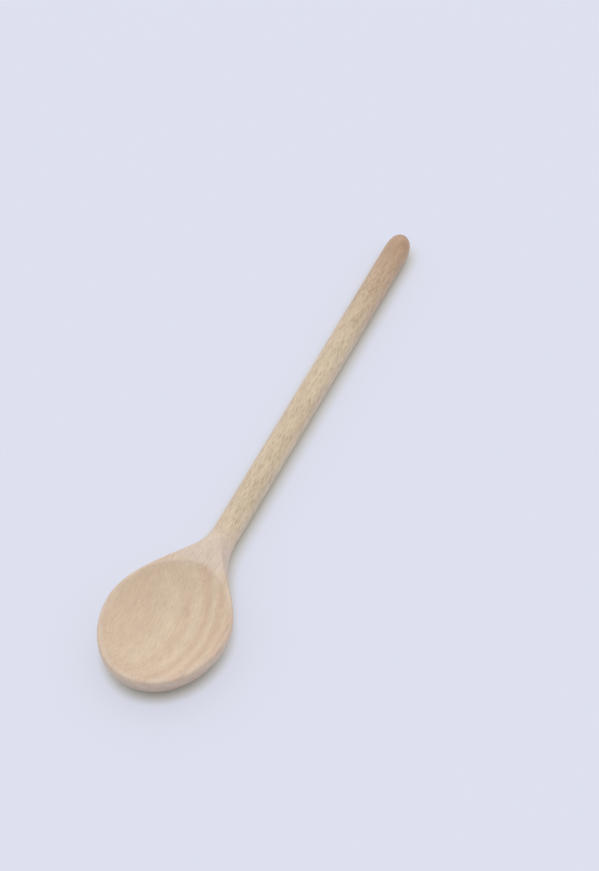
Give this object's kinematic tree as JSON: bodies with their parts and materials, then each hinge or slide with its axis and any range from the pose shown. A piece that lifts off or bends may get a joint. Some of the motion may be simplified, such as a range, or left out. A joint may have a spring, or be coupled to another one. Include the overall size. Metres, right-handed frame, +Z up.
{
  "type": "wooden spoon",
  "caption": "Wooden cooking spoon with a shallow oval bowl, a tapered neck with a flat top, and a long round handle with a rounded end, for stirring and serving.",
  "frame": {"origin": "on the ground under the middle of the spoon's length, where it lies on its belly and handle", "axes": "+X from the bowl to the end of the handle, +Y across the bowl, +Z up out of the hollow"},
  "size_m": [0.3, 0.057, 0.016],
  "materials": {
    "beech": "raw, sanded smooth"
  },
  "bodies": {
    "root": {"bowl": "beech", "handle": "beech"}
  },
  "joints": []
}
